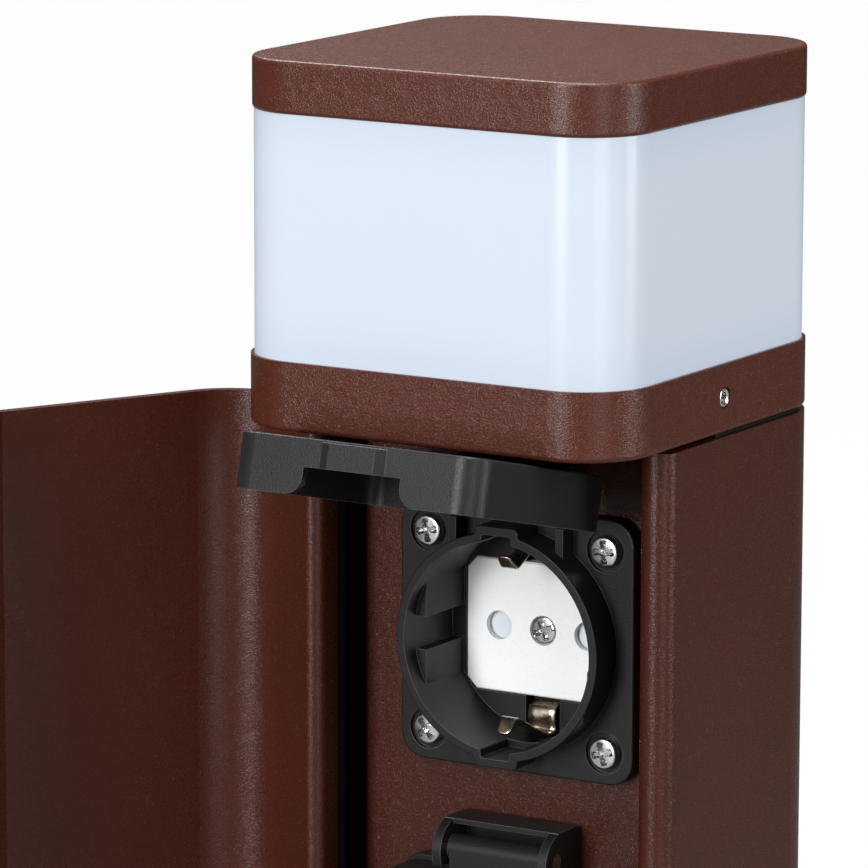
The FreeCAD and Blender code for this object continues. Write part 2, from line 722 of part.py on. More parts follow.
def socket_housing():
    f = flange_w / 2
    plate = face_block(-f, f, -f, f, flange_r, flange_y, flange_y + flange_t)
    plate = plate.makeFillet(flange_edge, [e for e in plate.Edges if e.BoundBox.YMax < flange_y + 0.01])
    ring = keyed_rod(ring_r, key_w, key_out, key_round, key_round_in, rim_y, flange_y + 1)
    ring = ring.makeFillet(rim_edge, [e for e in ring.Edges if e.BoundBox.YMax < rim_y + 0.01])
    cup = rod_y(cup_r, 0, 0, flange_y + 1, cup_end)
    ex0, ex1 = ear_in, ear_in + ear_t
    back = box(-ex1, ex1, flange_y, flange_y + flange_t, f - 3, hood_up)
    round_y, round_z = flange_y - ear_out + ear_round, hood_up - ear_round
    ears, ribs = [], []
    for sx in (-1, 1):
        a, b = sorted((sx * ex0, sx * ex1))
        nose = rod_x_dir(ear_round, round_y, round_z, a, b)
        ears.append(nose.common(box(a, b, round_y - ear_round, round_y, ear_low, hood_up)))
        ears.append(box(a, b, round_y, flange_y + 1, ear_low, hood_up))
        c, d = sorted((sx * (ex1 - rib_t), sx * ex1))
        ribs.append(box(c, d, flange_y - rib_out, flange_y + 1, rib_low, rib_high))
    top = box(-ex1, ex1, flange_y - hood_out, flange_y + 1, hood_up - hood_t, hood_up)
    s = fuse([plate, ring, cup, back, top] + ears + ribs)
    # well with its key grooves, pocket of the insert and the room behind the floor
    bore = keyed_rod(well_r, key_in, key_out, key_round_in, key_round_in, rim_y - 1, rim_y + key_depth)
    cuts = [bore, rod_y(well_r, 0, 0, rim_y - 1, insert_y + floor_sink),
            octagon(insert_w / 2 + insert_fit, insert_h / 2 + insert_fit, insert_chamfer,
                    insert_y, floor_y),
            rod_y(well_r, 0, 0, floor_y + floor_t, cup_end + 1)]
    for sz in (-1, 1):
        z0, z1 = sorted((sz * (insert_h / 2 - 0.5), sz * well_r))
        slot = box(-earth_slot, earth_slot, insert_y, insert_y + earth_slot_deep, z0, z1)
        cuts.append(slot.common(rod_y(well_r, 0, 0, insert_y, floor_y)))
    for sx in (-1, 1):
        cuts.append(rod_y(pin_r + 0.3, sx * pin_pitch / 2, 0, floor_y - 1, floor_y + floor_t + 1))
    cuts.append(rod_y(centre_screw_r - 0.1 + 0.2, 0, 0, floor_y - 1, floor_y + floor_t + 1))
    for x, z in holes:
        cuts.append(rod_y(hole_r, x, z, flange_y - 1, flange_y + flange_t + 1))
        cuts.append(rod_y(counter_r, x, z, flange_y - 1, flange_y + counter_t))
    cuts.append(rod_x_dir(pivot_pin_r + pivot_fit, pivot_y, pivot_up, -ex1 - 1, ex1 + 1))
    s = s.cut(group(cuts))
    # guide blocks at the sides of the well
    blocks = []
    for sx in (-1, 1):
        for sz in (-1, 1):
            xa, xb = sorted((sx * guide_x, sx * ring_r))
            za, zb = sorted((sz * guide_z, sz * (guide_z + guide_h)))
            b = box(xa, xb, rim_y + guide_back, insert_y + floor_sink + 0.5, za, zb)
            blocks.append(b.common(rod_y(well_r + ring_wall / 2, 0, 0, rim_y, floor_y)))
    return fuse([s] + blocks)


def socket_gasket():
    f = flange_w / 2 - gasket_in
    s = face_block(-f, f, -f, f, flange_r, flange_y + flange_t, panel_y)
    cuts = [rod_y(cup_r + panel_clear, 0, 0, flange_y, panel_y + 1)]
    cuts += [rod_y(hole_r, x, z, flange_y, panel_y + 1) for x, z in holes]
    return s.cut(group(cuts))


def socket_screws():
    one = screw(fix_r, fix_len, fix_head_r, fix_head_t)
    return group([placed(one, x, flange_y + counter_t, z, V(1, 0, 0), 90) for x, z in holes])


def socket_insert():
    w, h, c = insert_w / 2, insert_h / 2, insert_chamfer
    s = octagon(w, h, c, insert_y, floor_y)
    front = [e for e in s.Edges if abs(e.BoundBox.YMax - insert_y) < 1e-6]
    s = s.makeChamfer(0.3, front)
    room = octagon(w - insert_wall, h - insert_wall, c, insert_y + insert_front, floor_y + 1)
    room = room.cut(rod_y(hub_r, 0, 0, insert_y, floor_y + 2))
    s = s.cut(room)
    cuts = [rod_y(pin_r, sx * pin_pitch / 2, 0, insert_y - 1, floor_y) for sx in (-1, 1)]
    cuts.append(rod_y(hub_bore, 0, 0, insert_y - 1, floor_y + 1))
    cuts.append(rod_y(centre_head_r + 0.2, 0, 0, insert_y - 1, insert_y + centre_head_t))
    return s.cut(group(cuts)).removeSplitter()


def insert_screw():
    one = screw(centre_screw_r, insert_d + floor_t - 0.3, centre_head_r, centre_head_t)
    return placed(one, 0, insert_y + centre_head_t, 0, V(1, 0, 0), 90)


def shutter():
    y0 = insert_y + insert_front + shutter_gap
    hub = rod_y(shutter_hub, 0, 0, y0, y0 + shutter_t)
    blade = box(-shutter_len, shutter_len, y0, y0 + shutter_t, -shutter_half, shutter_half)
    return fuse([hub, blade]).cut(rod_y(hub_r + shutter_fit, 0, 0, y0 - 1, y0 + 4))


def rear_cover():
    s = rod_y(cup_r, 0, 0, cup_end, cup_end + cover_t)
    posts = [rod_y(post_r, sx * pin_pitch / 2, 0, cup_end - post_h, cup_end + 0.5) for sx in (-1, 1)]
    s = fuse([s] + posts)
    cuts = [rod_y(contact_r + contact_fit, sx * pin_pitch / 2, 0, cup_end - post_h - 1, cup_end - 0.5)
            for sx in (-1, 1)]
    cuts += [rod_y(cover_hole_r, i * cover_hole_pitch, cover_hole_in - cup_r, cup_end - 1, cup_end + cover_t + 1)
             for i in (-1, 0, 1)]
    return s.cut(group(cuts)).removeSplitter()


def contacts():
    y0, y1 = floor_y + floor_t + contact_gap, cup_end - 0.5
    out = []
    for sx in (-1, 1):
        x = sx * pin_pitch / 2
        t = rod_y(contact_r, x, 0, y0, y1).cut(rod_y(contact_bore, x, 0, y0 - 1, y1 - 1.5))
        out.append(t)
    return group(out)


def ribbon(points, t):
    """Outline of a bent strip of thickness t along a line of (y, r) points."""
    left, right = [], []
    for i, (y, r) in enumerate(points):
        ya, ra = points[max(i - 1, 0)]
        yb, rb = points[min(i + 1, len(points) - 1)]
        a0 = math.atan2(r - ra, y - ya) if i > 0 else math.atan2(rb - r, yb - y)
        a1 = math.atan2(rb - r, yb - y) if i < len(points) - 1 else a0
        turn = (a1 - a0 + math.pi) % (2 * math.pi) - math.pi
        m, k = a0 + turn / 2, t / 2 / math.cos(turn / 2)
        left.append((y - k * math.sin(m), r + k * math.cos(m)))
        right.append((y + k * math.sin(m), r - k * math.cos(m)))
    return left + right[::-1]


def earth_clips():
    """Bent strips at twelve and six o'clock of the well, from the tip over the hump to the floor."""
    t, u = earth_t, earth_t / 2
    wall_r = well_r - earth_gap - u
    hump_y, hump_r = rim_y + earth_hump_back, earth_hump_r + u
    floor = insert_y + floor_sink
    step = (wall_r - earth_top_r) / 5
    line = [(rim_y + earth_tip_back, earth_tip_r), (hump_y - t, hump_r), (hump_y + t, hump_r),
            (rim_y + earth_foot_back, wall_r), (floor + 0.6 * t, wall_r), (floor + u, wall_r - step),
            (floor + 2 * u, wall_r - 2 * step), (floor + 2 * u, wall_r - 3 * step),
            (floor + u, wall_r - 4 * step), (floor + 2 * u, earth_top_r),
            (floor + earth_slot_deep - t, earth_top_r - u)]
    pts = [V(0, y, r) for y, r in ribbon(line, t)]
    face = Part.Face(Part.makePolygon(pts + [pts[0]]))
    strip = face.extrude(V(earth_w, 0, 0))
    strip.translate(V(-earth_w / 2, 0, 0))
    # the strip is narrower in front of its foot
    for sx in (-1, 1):
        xa, xb = sorted((sx * earth_tip_w / 2, sx * earth_w))
        strip = strip.cut(box(xa, xb, rim_y, rim_y + earth_foot_back - t, 0, ring_r))
    low = strip.mirror(V(0, 0, 0), V(0, 0, 1))
    return group([strip, low])


def lid_pin():
    ex1 = ear_in + ear_t
    return rod_x_dir(pivot_pin_r, pivot_y, pivot_up, -ex1, ex1)


def lid():
    w = lid_w / 2
    s = face_block(-w, w, lid_bottom, lid_top, lid_r, lid_face_y, lid_rim_y)
    front = [e for e in s.Edges if abs(e.BoundBox.YMax - lid_face_y) < 1e-6]
    s = s.makeFillet(lid_edge, front)
    q = lid_wall
    s = s.cut(face_block(-w + q, w - q, lid_bottom + q, lid_top - q, lid_r - q,
                         lid_face_y + lid_face, lid_rim_y + 1))
    arm = box(-arm_half, arm_half, pivot_y - barrel_r, pivot_y - barrel_r + arm_back,
              lid_top - q, pivot_up)
    barrel = rod_x_dir(barrel_r, pivot_y, pivot_up, -barrel_half, barrel_half)
    # raised pull pad on the free end
    a, b = pad_flat, pad_flat + pad_run
    zb = lid_bottom
    pad = prism((-b, zb + 0.2), [(-b, zb), (-a, zb - pad_out), (a, zb - pad_out), (b, zb), (b, zb + 0.2)],
                0, lid_d - notch_d - lid_edge)
    pad.rotate(V(0, 0, 0), V(1, 0, 0), 90)
    pad.translate(V(0, lid_rim_y - notch_d, 0))
    s = fuse([s, arm, barrel, pad])
    # finger notch with rounded mouth in the free end, and the same clearance in the hinge end
    y0, n, r = lid_rim_y - notch_d, notch_half, notch_r
    k = r * (1 - math.sqrt(0.5))
    y1 = lid_rim_y
    notch = prism((-n, -y0), [(n, -y0), (n, -y1 + r), (n + k, -y1 + k, n + r, -y1), (n + r, -y1 - 1),
                  (-n - r, -y1 - 1), (-n - r, -y1), (-n - k, -y1 + k, -n, -y1 + r)], 0, 6)
    notch.rotate(V(0, 0, 0), V(1, 0, 0), 90)
    notch.rotate(V(0, 0, 0), V(1, 0, 0), 90)
    low = notch.copy()
    bb = low.BoundBox
    low.translate(V(0, y1 + 1 - bb.YMax, lid_bottom + q + 0.5 - bb.ZMax))
    high = box(-ear_in - ear_t - 0.5, ear_in + ear_t + 0.5, y0, y1 + 1, lid_top - q - 0.5, lid_top + 0.5)
    reach = ring_r + key_out + key_clear
    relief = box(-key_w / 2 - key_clear, key_w / 2 + key_clear, lid_face_y + lid_face, lid_rim_y,
                 -reach, reach)
    s = s.cut(group([low, high, relief]))
    bore = rod_x_dir(pivot_pin_r + pivot_fit, pivot_y, pivot_up, -barrel_half - 1, barrel_half + 1)
    return s.cut(bore).removeSplitter()


def lid_seal():
    y0 = lid_face_y + lid_face
    s = rod_y(lid_seal_r, 0, 0, y0, rim_y - lid_gap)
    return s.cut(rod_y(lid_seal_in, 0, 0, y0 - 1, rim_y))


def socket(prefix, zc, opened):
    fixed = {"housing": socket_housing(), "gasket": socket_gasket(), "flange_screws": socket_screws(),
             "insert": socket_insert(), "insert_screw": insert_screw(), "shutter": shutter(),
             "rear_cover": rear_cover(), "contacts": contacts(), "earth_clips": earth_clips(),
             "lid_pin": lid_pin()}
    moving = {"lid": lid(), "lid_seal": lid_seal()}
    for s in moving.values():
        if opened:
            s.rotate(V(0, pivot_y, pivot_up), V(1, 0, 0), -lid_open)
    fixed.update(moving)
    for name, s in fixed.items():
        s.translate(V(0, 0, zc))
        save(prefix + "_" + name, s)


def main():
    os.makedirs("parts", exist_ok=True)
    save("foot_plate", foot_plate())
    save("foot_screws", foot_screws())
    save("column", column())
    save("catch_strikes", strikes())
    save("door", door_shape())
    save("catch_magnets", magnets())
    save("head_gasket", head_gasket())
    save("head_collar", head_collar())
    save("head_screws", head_screws())
    save("set_screws", set_screws())
    save("diffuser_seal", diffuser_seal())
    save("diffuser", diffuser())
    save("tie_rods", tie_rods())
    save("cap", cap())
    save("led_plate", led_plate())
    save("led_screws", led_screws())
    save("led_board", led_board())
    save("leds", leds())
    save("driver", driver())
    save("terminal_block", terminal_block())
    save("cable_gland", cable_gland())
    socket("upper", upper_z, True)
    socket("lower", lower_z, False)


main()
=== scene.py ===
import math

import bmesh
import bpy
from mathutils import Matrix, Vector


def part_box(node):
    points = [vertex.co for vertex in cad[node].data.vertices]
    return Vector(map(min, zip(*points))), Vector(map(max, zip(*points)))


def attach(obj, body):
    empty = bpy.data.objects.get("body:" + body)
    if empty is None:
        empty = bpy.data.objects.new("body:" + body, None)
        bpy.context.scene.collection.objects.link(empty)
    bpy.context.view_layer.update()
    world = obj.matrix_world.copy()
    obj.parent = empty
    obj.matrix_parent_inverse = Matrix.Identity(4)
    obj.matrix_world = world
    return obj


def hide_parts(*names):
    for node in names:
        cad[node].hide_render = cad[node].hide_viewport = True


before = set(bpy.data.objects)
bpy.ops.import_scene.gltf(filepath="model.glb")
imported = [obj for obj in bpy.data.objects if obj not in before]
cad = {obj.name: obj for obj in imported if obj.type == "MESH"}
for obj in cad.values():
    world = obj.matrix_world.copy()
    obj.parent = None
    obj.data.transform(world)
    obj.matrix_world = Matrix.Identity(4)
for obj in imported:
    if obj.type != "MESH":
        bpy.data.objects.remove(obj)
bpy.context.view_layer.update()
mm = 0.001

# The camera stands well back at the post's right front, a little above the head,
# with a long lens that frames the head and the two sockets.
yaw, rise, roll = math.radians(31.36), math.radians(10.729), math.radians(0.119)
aim = Vector((-20.776, 0, 375.386)) * mm
focal_length, stand_off = 246.53, 1110.655
away = Vector((math.sin(yaw) * math.cos(rise), -math.cos(yaw) * math.cos(rise), math.sin(rise)))
across = Vector((math.cos(yaw), math.sin(yaw), 0))
upright = away.cross(across)
right = across * math.cos(roll) + upright * math.sin(roll)
up = upright * math.cos(roll) - across * math.sin(roll)
camera = bpy.data.objects.new("camera", bpy.data.cameras.new("camera"))
bpy.context.scene.collection.objects.link(camera)
camera.data.sensor_width, camera.data.lens = 36, focal_length
camera.data.clip_start, camera.data.clip_end = 0.05, 80
turn = Matrix((right, up, away)).transposed().to_4x4()
camera.matrix_world = Matrix.Translation(aim + away * stand_off * mm) @ turn
bpy.context.scene.camera = camera


# The studio is a wide pale floor in a white room. Five soft boxes stand round the post: one in
# front of it, two at its right, one overhead and one high up behind its left side.
def put(tree, kind, feeds=(), **settings):
    """A node in a tree; feeds gives its inputs, as values or as other nodes' sockets."""
    made = tree.nodes.new(kind)
    for key, value in settings.items():
        setattr(made, key, value)
    for key, value in dict(feeds).items():
        if isinstance(value, bpy.types.NodeSocket):
            tree.links.new(value, made.inputs[key])
        else:
            made.inputs[key].default_value = value
    return made


def stand(name, bm):
    """Turns a finished bmesh into an object at the origin."""
    mesh = bpy.data.meshes.new(name)
    bm.to_mesh(mesh)
    bm.free()
    made = bpy.data.objects.new(name, mesh)
    bpy.context.scene.collection.objects.link(made)
    return made


floor_radius, floor_grey, floor_glow, glow_seen = 30, 0.17, 1.11, 0.88
sheet = bmesh.new()
bmesh.ops.create_circle(sheet, cap_ends=True, segments=64, radius=floor_radius)
floor = stand("studio_floor", sheet)
pale = bpy.data.materials.new("pale_floor")
pale.use_nodes = True
pale.node_tree.nodes.clear()
matt = put(pale.node_tree, "ShaderNodeBsdfDiffuse", {"Color": (floor_grey, floor_grey, floor_grey, 1)})
glow = put(pale.node_tree, "ShaderNodeEmission", {"Color": (1, 1, 1, 1), "Strength": floor_glow})
seen = put(pale.node_tree, "ShaderNodeLightPath")
share = put(pale.node_tree, "ShaderNodeMath", {0: seen.outputs["Is Camera Ray"], 1: glow_seen},
            operation="MULTIPLY")
mixed = put(pale.node_tree, "ShaderNodeMixShader",
            {0: share.outputs[0], 1: matt.outputs[0], 2: glow.outputs[0]})
put(pale.node_tree, "ShaderNodeOutputMaterial", {"Surface": mixed.outputs[0]})
floor.data.materials.append(pale)

room_light, room_seen = 0.14, 0.98
world = bpy.data.worlds.new("white_room")
bpy.context.scene.world = world
world.use_nodes = True
sky = world.node_tree.nodes["Background"]
sky.inputs["Color"].default_value = (1, 1, 1, 1)
eye = put(world.node_tree, "ShaderNodeLightPath")
level = put(world.node_tree, "ShaderNodeMapRange",
            {"Value": eye.outputs["Is Camera Ray"], 3: room_light, 4: room_seen})
world.node_tree.links.new(level.outputs[0], sky.inputs["Strength"])
bpy.context.scene.view_settings.view_transform = "Standard"
lit_point = Vector((0, 0, 0.36))


def soft_box(name, azimuth, height_angle, distance, width, height, power):
    """A rectangular lamp turned to the lit point; its angles are degrees from the front and up."""
    lamp = bpy.data.lights.new(name, "AREA")
    lamp.shape, lamp.size, lamp.size_y, lamp.energy = "RECTANGLE", width, height, power
    holder = bpy.data.objects.new(name, lamp)
    bpy.context.scene.collection.objects.link(holder)
    a, e = math.radians(azimuth), math.radians(height_angle)
    out = Vector((math.sin(a) * math.cos(e), -math.cos(a) * math.cos(e), math.sin(e)))
    holder.location = lit_point + out * distance
    holder.rotation_euler = out.to_track_quat("Z", "Y").to_euler()


soft_box("front_box", -9, 15, 1.6, 0.50, 1.2, 34)
soft_box("side_box", 106, 12, 1.8, 0.60, 1.2, 23)
soft_box("dim_box", 54, 10, 1.8, 0.70, 1.2, 11)
soft_box("top_box", 20, 80, 1.6, 1.2, 1.2, 60)
soft_box("back_box", 232, 48, 1.9, 0.9, 0.9, 26)


# The post is one length of extruded aluminium with its foot plate, its hinged door and the
# cast collar and cap of the head, all in a red-brown textured powder coat. On the extrusions
# the coat is painted a shade darker, as painted shade for the recess and the open door.
def effect(name, inputs, outputs):
    """A node group with named sockets; gives its tree, its inputs and its output node."""
    tree = bpy.data.node_groups.new(name, "ShaderNodeTree")
    for label, kind, value in inputs:
        socket = tree.interface.new_socket(label, in_out="INPUT", socket_type="NodeSocket" + kind)
        if value is not None:
            socket.default_value = value
    for label, kind in outputs:
        tree.interface.new_socket(label, in_out="OUTPUT", socket_type="NodeSocket" + kind)
    return tree, tree.nodes.new("NodeGroupInput").outputs, tree.nodes.new("NodeGroupOutput")


def sum_of(tree, a, b, operation="ADD"):
    """Two values added, or joined by another sum."""
    return put(tree, "ShaderNodeMath", {0: a, 1: b}, operation=operation).outputs[0]


def span(tree, value, low, high, to_low=0.0, to_high=1.0):
    """A value's range from low to high, softly drawn out to another range."""
    feeds = {"Value": value, 1: low, 2: high, 3: to_low, 4: to_high}
    return put(tree, "ShaderNodeMapRange", feeds, interpolation_type="SMOOTHSTEP").outputs[0]


def shade(tree, factor, a, b):
    """A colour between two, by a factor."""
    made = put(tree, "ShaderNodeMix", {0: factor}, data_type="RGBA")
    for index, colour in ((6, a), (7, b)):
        if isinstance(colour, bpy.types.NodeSocket):
            tree.links.new(colour, made.inputs[index])
        else:
            made.inputs[index].default_value = (*colour, 1)
    return made.outputs[2]


wrinkle, inlet, outlet = effect("powder_wrinkle",
                                [("Vector", "Vector", None), ("Fineness", "Float", 1000.0)],
                                [("Height", "Float"), ("Glint_Fleck", "Float"), ("Cloud", "Float")])
warp = put(wrinkle, "ShaderNodeTexNoise", {"Vector": inlet["Vector"], "Scale": 420.0, "Detail": 1.0})
bent = put(wrinkle, "ShaderNodeVectorMath", {0: warp.outputs["Color"], 1: (0.9 * mm,) * 3},
           operation="MULTIPLY")
moved = put(wrinkle, "ShaderNodeVectorMath", {0: inlet["Vector"], 1: bent.outputs[0]}, operation="ADD")
worm = put(wrinkle, "ShaderNodeTexNoise",
           {"Vector": moved.outputs[0], "Scale": inlet["Fineness"], "Detail": 1.5, "Roughness": 0.45})
off_middle = put(wrinkle, "ShaderNodeMath", {0: sum_of(wrinkle, worm.outputs["Fac"], 0.5, "SUBTRACT")},
                 operation="ABSOLUTE")
ridge = span(wrinkle, off_middle.outputs[0], 0.0, 0.11, 1.0, 0.0)
peel = put(wrinkle, "ShaderNodeTexNoise", {"Vector": inlet["Vector"], "Scale": 520.0, "Detail": 2.0})
height = sum_of(wrinkle, ridge, sum_of(wrinkle, peel.outputs["Fac"], 0.8, "MULTIPLY"))
# Tiny pale flecks go into the colour as painted glints of the wrinkles.
glint_speck = put(wrinkle, "ShaderNodeTexNoise", {"Vector": inlet["Vector"], "Scale": 3300.0, "Detail": 0.0})
cloud = put(wrinkle, "ShaderNodeTexNoise", {"Vector": inlet["Vector"], "Scale": 38.0, "Detail": 3.0})
wrinkle.links.new(height, outlet.inputs["Height"])
wrinkle.links.new(span(wrinkle, glint_speck.outputs["Fac"], 0.74, 0.82), outlet.inputs["Glint_Fleck"])
wrinkle.links.new(cloud.outputs["Fac"], outlet.inputs["Cloud"])


def surface(name, roughness, metallic=0.0, specular=0.5):
    """A material with its constants on the shader; gives its tree, shader and coordinates."""
    made = bpy.data.materials.new(name)
    made.use_nodes = True
    tree = made.node_tree
    shader = tree.nodes["Principled BSDF"]
    shader.inputs["Roughness"].default_value = roughness
    shader.inputs["Metallic"].default_value = metallic
    shader.inputs["Specular IOR Level"].default_value = specular
    return made, tree, shader, put(tree, "ShaderNodeTexCoord").outputs["Object"]


def bump(tree, shader, height, depth, strength=1.0):
    """Raises the surface by a height, as deep as given in metres; gives the node."""
    made = put(tree, "ShaderNodeBump", {"Height": height, "Distance": depth, "Strength": strength})
    tree.links.new(made.outputs[0], shader.inputs["Normal"])
    return made


def powder_coat(name, dark, light, glint_fleck, fineness, depth, roughness):
    """The wrinkled coat: two close tones in slow clouds, pale flecks painted in as the glints its
    wrinkles catch, and fine ridges.
    """
    made, tree, shader, place = surface(name, roughness, specular=0.27)
    grain = put(tree, "ShaderNodeGroup", {"Vector": place, "Fineness": fineness}, node_tree=wrinkle)
    tone = shade(tree, grain.outputs["Cloud"], dark, light)
    tree.links.new(shade(tree, grain.outputs["Glint_Fleck"], tone, glint_fleck), shader.inputs["Base Color"])
    tree.links.new(span(tree, grain.outputs["Height"], 0.3, 1.1, roughness + 0.07, roughness - 0.05),
                   shader.inputs["Roughness"])
    bump(tree, shader, grain.outputs["Height"], depth)
    return made


def dress(material, *names):
    """Gives carried-over nodes their finish."""
    for name in names:
        cad[name].data.materials.clear()
        cad[name].data.materials.append(material)


cast_coat = powder_coat("brown_coat_on_castings", (0.045, 0.0114, 0.0060), (0.058, 0.0148, 0.0082),
                        (0.12, 0.057, 0.040), fineness=1900.0, depth=0.00002, roughness=0.25)
# The profile coat is the cast coat made darker: painted shade for the recess and the open door.
shaded_drawn_coat = powder_coat("brown_coat_painted_shade_on_profiles", (0.031, 0.0068, 0.0034), (0.042, 0.0094, 0.0050),
                         (0.08, 0.034, 0.023), fineness=1900.0, depth=0.000014, roughness=0.26)
dress(cast_coat, "head_collar", "cap")
dress(shaded_drawn_coat, "column", "foot_plate", "door")


# Gaskets and seals are cut from black foam rubber and sit between the head's castings,
# behind the socket flanges and inside the flap lids.
pored, inlet, outlet = effect("foam_pores", [("Vector", "Vector", None)],
                              [("Pore", "Float"), ("Dust", "Float")])
pore = put(pored, "ShaderNodeTexVoronoi", {"Vector": inlet["Vector"], "Scale": 2200.0})
dust = put(pored, "ShaderNodeTexNoise", {"Vector": inlet["Vector"], "Scale": 300.0, "Detail": 4.0})
pored.links.new(pore.outputs["Distance"], outlet.inputs["Pore"])
pored.links.new(dust.outputs["Fac"], outlet.inputs["Dust"])


def rubber(name, colour, roughness, specular=0.3):
    """Dusty foam rubber with small open pores."""
    made, tree, shader, place = surface(name, roughness, specular=specular)
    foam = put(tree, "ShaderNodeGroup", {"Vector": place}, node_tree=pored)
    tone = shade(tree, foam.outputs["Dust"], colour, [c * 1.8 for c in colour])
    tree.links.new(tone, shader.inputs["Base Color"])
    bump(tree, shader, foam.outputs["Pore"], 0.00008, 0.6)
    return made


seal_rubber = rubber("seal_rubber", (0.0045, 0.0045, 0.0047), 0.8, 0.12)
dress(seal_rubber, "head_gasket", "diffuser_seal", "upper_gasket", "lower_gasket",
      "upper_lid_seal", "lower_lid_seal")

# A strip of black foam rubber is set along the recess, in the corner beside the door's
# hinge channel: a dark sheet put where the gap is only in shade, as a painted shadow.
post_low, post_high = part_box("column")
strip_out, strip_wide, strip_round = 1.3 * mm, 8.2 * mm, 0.9 * mm
strip_left, strip_back = -35.9 * mm, -1.55 * mm
strip_foot, strip_head = post_low.z + 3 * mm, post_high.z - 0.8 * mm
bm = bmesh.new()
bmesh.ops.create_cube(bm, size=1)
bmesh.ops.scale(bm, verts=bm.verts, vec=(strip_out, strip_wide, strip_head - strip_foot))
strip_middle = (strip_left + strip_out / 2, strip_back - strip_wide / 2, (strip_foot + strip_head) / 2)
bmesh.ops.translate(bm, verts=bm.verts, vec=strip_middle)
outer = [e for e in bm.edges if abs(e.verts[0].co.z - e.verts[1].co.z) > strip_wide
         and e.verts[0].co.x > strip_middle[0] and e.verts[0].co.y < strip_middle[1]]
bmesh.ops.bevel(bm, geom=outer, offset=strip_round, segments=4, profile=0.5, affect="EDGES",
                material=-1)
bmesh.ops.recalc_face_normals(bm, faces=bm.faces)
shade_strip = stand("recess_shadow_strip", bm)
shade_strip.data.materials.append(rubber("black_shadow_rubber", (0.0016, 0.0015, 0.0015), 0.95, 0.0))
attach(shade_strip, "post")


# Fixings and rods are bright zinc or stainless steel, turned or drawn, so that fine rings
# and lines from the tool run round them.
tooled, inlet, outlet = effect("tool_marks",
                               [("Vector", "Vector", None), ("Brushed", "Vector", (1, 1, 1)),
                                ("Lines", "Float", 1800.0)],
                               [("Marks", "Float"), ("Tarnish", "Float")])
laid = put(tooled, "ShaderNodeMapping", {"Vector": inlet["Vector"], "Scale": inlet["Brushed"]})
marks = put(tooled, "ShaderNodeTexNoise",
            {"Vector": laid.outputs[0], "Scale": inlet["Lines"], "Detail": 2.0})
tarnish = put(tooled, "ShaderNodeTexNoise", {"Vector": inlet["Vector"], "Scale": 240.0, "Detail": 3.0})
tooled.links.new(marks.outputs["Fac"], outlet.inputs["Marks"])
tooled.links.new(tarnish.outputs["Fac"], outlet.inputs["Tarnish"])


def metal(name, colour, roughness, lines=1800.0, depth=0.000012, brushed=(1, 1, 1)):
    """Worked metal with tool marks; brushed draws the marks out along an axis."""
    made, tree, shader, place = surface(name, roughness, metallic=1.0)
    worked = put(tree, "ShaderNodeGroup", {"Vector": place, "Brushed": brushed, "Lines": lines},
                 node_tree=tooled)
    tone = shade(tree, worked.outputs["Tarnish"], [c * 0.82 for c in colour], colour)
    tree.links.new(tone, shader.inputs["Base Color"])
    tree.links.new(span(tree, worked.outputs["Marks"], 0.3, 0.7, roughness - 0.06, roughness + 0.1),
                   shader.inputs["Roughness"])
    bump(tree, shader, worked.outputs["Marks"], depth)
    return made


zinc = metal("zinc_plate", (0.60, 0.61, 0.62), 0.34)
stainless = metal("stainless_steel", (0.62, 0.62, 0.61), 0.24)
dress(zinc, "foot_screws", "catch_strikes", "head_screws", "led_screws", "tie_rods")
dress(stainless, "upper_lid_pin", "lower_lid_pin")
dress(metal("magnet_nickel", (0.62, 0.61, 0.60), 0.2), "catch_magnets")


# The driver, the terminal block and the cable gland sit low behind the recess panel; they are
# plain mouldings with a fine matt grain.
grained, inlet, outlet = effect("mould_grain",
                                [("Vector", "Vector", None), ("Fineness", "Float", 2600.0)],
                                [("Grain", "Float"), ("Cloud", "Float")])
spark = put(grained, "ShaderNodeTexNoise",
            {"Vector": inlet["Vector"], "Scale": inlet["Fineness"], "Detail": 2.0, "Roughness": 0.6})
broad = put(grained, "ShaderNodeTexNoise", {"Vector": inlet["Vector"], "Scale": 90.0, "Detail": 2.0})
grained.links.new(spark.outputs["Fac"], outlet.inputs["Grain"])
grained.links.new(broad.outputs["Fac"], outlet.inputs["Cloud"])


def moulded(name, dark, light, roughness, fineness=2600.0, depth=0.00003, specular=0.45,
            edge=None):
    """Grained plastic; edge is the radius of its corners, which are painted a little paler as a painted
    edge highlight.
    """
    made, tree, shader, place = surface(name, roughness, specular=specular)
    face = put(tree, "ShaderNodeGroup", {"Vector": place, "Fineness": fineness}, node_tree=grained)
    tree.links.new(shade(tree, face.outputs["Cloud"], dark, light), shader.inputs["Base Color"])
    tree.links.new(span(tree, face.outputs["Grain"], 0.3, 0.7, roughness - 0.05, roughness + 0.08),
                   shader.inputs["Roughness"])
    raised = bump(tree, shader, face.outputs["Grain"], depth)
    if edge:
        soft_edge = put(tree, "ShaderNodeBevel", {"Radius": edge}, samples=6)
        tree.links.new(soft_edge.outputs[0], raised.inputs["Normal"])
        flat = put(tree, "ShaderNodeNewGeometry").outputs["True Normal"]
        bend = put(tree, "ShaderNodeVectorMath", {0: soft_edge.outputs[0], 1: flat},
                   operation="DOT_PRODUCT")
        # The corners are lightened in the colour: a painted highlight along the edges.
        edge_highlight_mask = span(tree, bend.outputs["Value"], 0.80, 0.985, 0.75, 0.0)
        plain, edge_highlight = shader.inputs["Base Color"].links[0].from_socket, (0.16, 0.16, 0.16)
        tree.links.new(shade(tree, edge_highlight_mask, plain, edge_highlight), shader.inputs["Base Color"])
    return made


